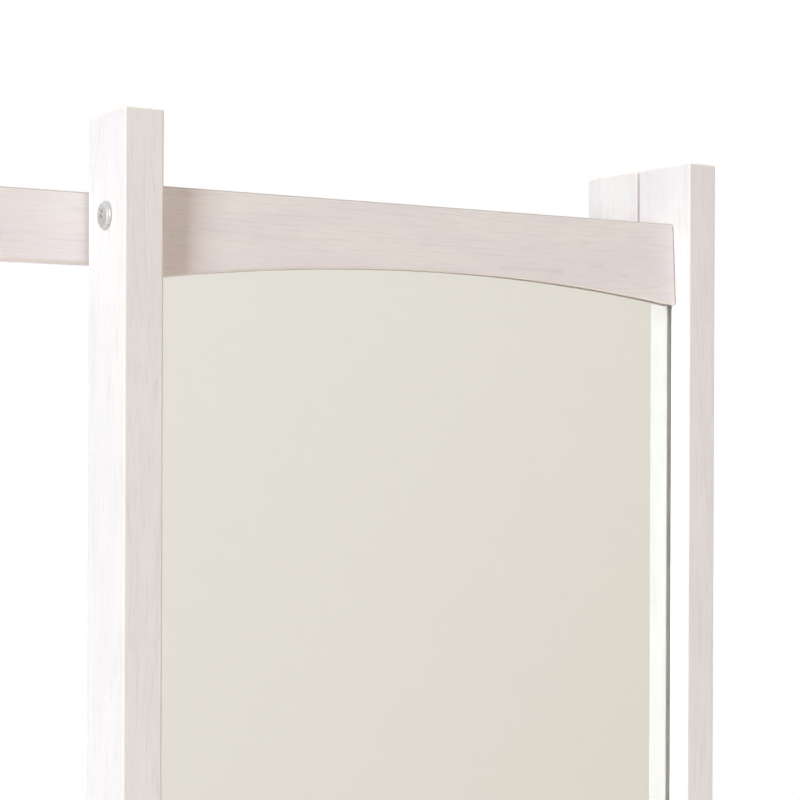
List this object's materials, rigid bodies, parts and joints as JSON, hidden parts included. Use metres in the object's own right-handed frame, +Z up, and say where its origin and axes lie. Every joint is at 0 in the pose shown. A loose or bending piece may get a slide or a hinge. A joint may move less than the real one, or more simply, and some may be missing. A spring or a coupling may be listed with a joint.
{
  "type": "standing mirror with hanger rack",
  "caption": "Whitewashed wooden hanger rack on foot bars with a tall mirror hinged in front of its right half; the mirror has an arched top rail and swings open like a door.",
  "frame": {"origin": "on the floor, under the middle of the rack", "axes": "+X to the right, seen from the front, +Y to the back, +Z up"},
  "size_m": [0.8196, 0.4, 1.6],
  "materials": {
    "wood": "whitewashed, satin lacquer",
    "mirror": "silvered glass",
    "hardboard": "raw pressed board",
    "steel": "zinc plated",
    "plastic": "moulded"
  },
  "bodies": {
    "rack": {"rack_left_post": "wood", "rack_right_post": "wood", "hanger_rail": "wood", "rack_bottom_rail": "wood", "left_foot": "wood", "right_foot": "wood", "glide_left_front": "plastic", "glide_left_back": "plastic", "glide_right_front": "plastic", "glide_right_back": "plastic", "hanger_rail_bolt_left": "steel", "hanger_rail_bolt_right": "steel", "rack_bottom_rail_bolt_left": "steel", "rack_bottom_rail_bolt_right": "steel", "left_foot_bolt": "steel", "right_foot_bolt": "steel", "hanger_rail_nut_left": "steel", "hanger_rail_nut_right": "steel", "rack_bottom_rail_nut_left": "steel", "rack_bottom_rail_nut_right": "steel", "left_foot_nut": "steel", "right_foot_nut": "steel", "upper_hinge_rack_leaf": "steel", "middle_hinge_rack_leaf": "steel", "lower_hinge_rack_leaf": "steel", "upper_hinge_pin": "steel", "middle_hinge_pin": "steel", "lower_hinge_pin": "steel", "upper_hinge_rack_screw_top": "steel", "upper_hinge_rack_screw_bottom": "steel", "middle_hinge_rack_screw_top": "steel", "middle_hinge_rack_screw_bottom": "steel", "lower_hinge_rack_screw_top": "steel", "lower_hinge_rack_screw_bottom": "steel"},
    "mirror_frame": {"mirror_left_post": "wood", "mirror_right_post": "wood", "arched_top_rail": "wood", "mirror_bottom_rail": "wood", "mirror_glass": "mirror", "backing_board": "hardboard", "arched_rail_bolt_left": "steel", "arched_rail_bolt_right": "steel", "mirror_bottom_rail_bolt_left": "steel", "mirror_bottom_rail_bolt_right": "steel", "arched_rail_nut_left": "steel", "arched_rail_nut_right": "steel", "mirror_bottom_rail_nut_left": "steel", "mirror_bottom_rail_nut_right": "steel", "upper_hinge_mirror_leaf": "steel", "middle_hinge_mirror_leaf": "steel", "lower_hinge_mirror_leaf": "steel", "upper_hinge_mirror_screw_top": "steel", "upper_hinge_mirror_screw_bottom": "steel", "middle_hinge_mirror_screw_top": "steel", "middle_hinge_mirror_screw_bottom": "steel", "lower_hinge_mirror_screw_top": "steel", "lower_hinge_mirror_screw_bottom": "steel"}
  },
  "joints": [
    {"name": "mirror_swing", "type": "hinge", "parent": "rack", "child": "mirror_frame", "pos_m": [0.4033, -0.02475, 0.8], "axis": [0, 0, 1], "range_deg": [0, 120]}
  ]
}
